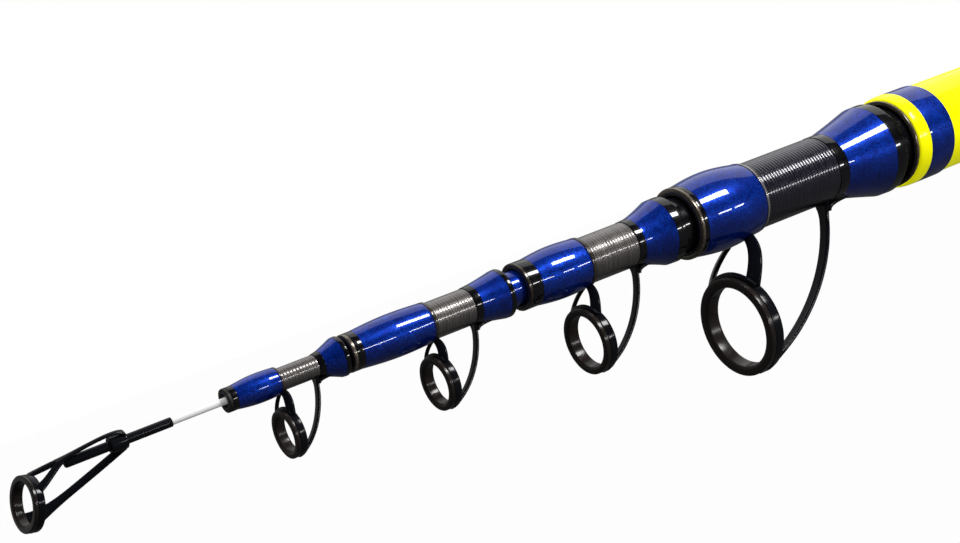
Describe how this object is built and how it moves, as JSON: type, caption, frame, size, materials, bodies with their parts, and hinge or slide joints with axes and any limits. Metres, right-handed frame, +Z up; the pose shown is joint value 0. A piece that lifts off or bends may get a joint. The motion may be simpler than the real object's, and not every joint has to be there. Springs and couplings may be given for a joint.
{
  "type": "telescopic fishing rod",
  "caption": "Closed telescopic fishing rod: nested tapered tubes draw out of a butt with screw reel seat and cap; line guides with ceramic rings hang below wrapped blue collars.",
  "frame": {"origin": "centre of the butt cap pad's rear face", "axes": "+X along the rod to the tip, +Z up, guides below the rod"},
  "size_m": [0.9049, 0.0372, 0.0614],
  "materials": {
    "blue_blank": "clear-coated composite tube",
    "blue_lacquer": "metallic blue under clear epoxy",
    "black_lacquer": "black under clear epoxy",
    "bronze_lacquer": "bronze line under clear epoxy",
    "dark_thread": "wound thread under clear epoxy",
    "grey_thread": "wound thread under clear epoxy",
    "guide_black": "black gloss plating",
    "guide_ceramic": "polished dark grey ceramic",
    "white_tip": "white gloss",
    "yellow_lacquer": "fluorescent yellow gloss",
    "seat_black": "fine satin",
    "grip_foam": "fine-pored foam",
    "check_metal": "turned and polished",
    "black_rubber": "matt rubber",
    "cushion_foam": "soft foam"
  },
  "bodies": {
    "butt": {"butt_blank": "yellow_lacquer", "butt_rim": "bronze_lacquer", "butt_yellow_band": "yellow_lacquer", "butt_blue_band": "blue_lacquer", "seat_barrel": "seat_black", "fixed_hood": "seat_black", "rear_grip": "grip_foam", "fore_grip": "grip_foam", "winding_checks": "check_metal", "butt_bush": "check_metal"},
    "hood": {"sliding_hood": "seat_black"},
    "nut": {"lock_nut": "seat_black"},
    "seal": {"seal": "black_rubber"},
    "cap": {"butt_cap": "seat_black", "cap_pad": "black_rubber", "cap_cushion": "cushion_foam"},
    "section_2": {"section_2_blank": "blue_blank", "section_2_mouth_ring": "bronze_lacquer", "section_2_front_collar": "blue_lacquer", "section_2_trim_bands": "black_lacquer", "section_2_thread_wrap": "dark_thread", "section_2_bell": "blue_lacquer", "section_2_stop_rim": "black_lacquer", "section_2_guide_frame": "guide_black", "section_2_guide_ring": "guide_ceramic"},
    "section_3": {"section_3_blank": "blue_blank", "section_3_mouth_ring": "bronze_lacquer", "section_3_front_collar": "blue_lacquer", "section_3_trim_bands": "black_lacquer", "section_3_thread_wrap": "grey_thread", "section_3_bell": "blue_lacquer", "section_3_stop_rim": "black_lacquer", "section_3_guide_frame": "guide_black", "section_3_guide_ring": "guide_ceramic"},
    "section_4": {"section_4_blank": "blue_blank", "section_4_mouth_ring": "bronze_lacquer", "section_4_front_collar": "blue_lacquer", "section_4_trim_bands": "black_lacquer", "section_4_thread_wrap": "grey_thread", "section_4_bell": "blue_lacquer", "section_4_stop_rim": "black_lacquer", "section_4_guide_frame": "guide_black", "section_4_guide_ring": "guide_ceramic"},
    "section_5": {"section_5_blank": "blue_blank", "section_5_mouth_ring": "black_lacquer", "section_5_front_collar": "blue_lacquer", "section_5_trim_bands": "black_lacquer", "section_5_thread_wrap": "grey_thread", "section_5_bell": "blue_lacquer", "section_5_stop_rim": "black_lacquer", "section_5_guide_frame": "guide_black", "section_5_guide_ring": "guide_ceramic"},
    "tip": {"tip_blank": "white_tip", "top_tube": "guide_black", "top_frame": "guide_black", "top_ring": "guide_ceramic"}
  },
  "joints": [
    {"name": "section_2_slide", "type": "slide", "parent": "butt", "child": "section_2", "axis": [1, 0, 0], "range_m": [0, 0.548]},
    {"name": "section_3_slide", "type": "slide", "parent": "section_2", "child": "section_3", "axis": [1, 0, 0], "range_m": [0, 0.6235]},
    {"name": "section_4_slide", "type": "slide", "parent": "section_3", "child": "section_4", "axis": [1, 0, 0], "range_m": [0, 0.675]},
    {"name": "section_5_slide", "type": "slide", "parent": "section_4", "child": "section_5", "axis": [1, 0, 0], "range_m": [0, 0.7225]},
    {"name": "tip_slide", "type": "slide", "parent": "section_5", "child": "tip", "axis": [1, 0, 0], "range_m": [0, 0.753]},
    {"name": "hood_slide", "type": "slide", "parent": "butt", "child": "hood", "axis": [1, 0, 0], "range_m": [-0.012, 0.014]},
    {"name": "nut_turn", "type": "hinge", "parent": "hood", "child": "nut", "pos_m": [0.46025, 0, 0], "axis": [1, 0, 0], "range_deg": [-2161, 2521]},
    {"name": "seal_slide", "type": "slide", "parent": "butt", "child": "seal", "axis": [-1, 0, 0], "range_m": [0, 0.012]},
    {"name": "cap_turn", "type": "hinge", "parent": "seal", "child": "cap", "pos_m": [0.0065, 0, 0], "axis": [1, 0, 0], "range_deg": [0, 2881]}
  ],
  "couplings": [
    {"joint": "nut_turn", "follows": "hood_slide", "rad_per_m": 3141.6},
    {"joint": "cap_turn", "follows": "seal_slide", "rad_per_m": 4188.8}
  ]
}
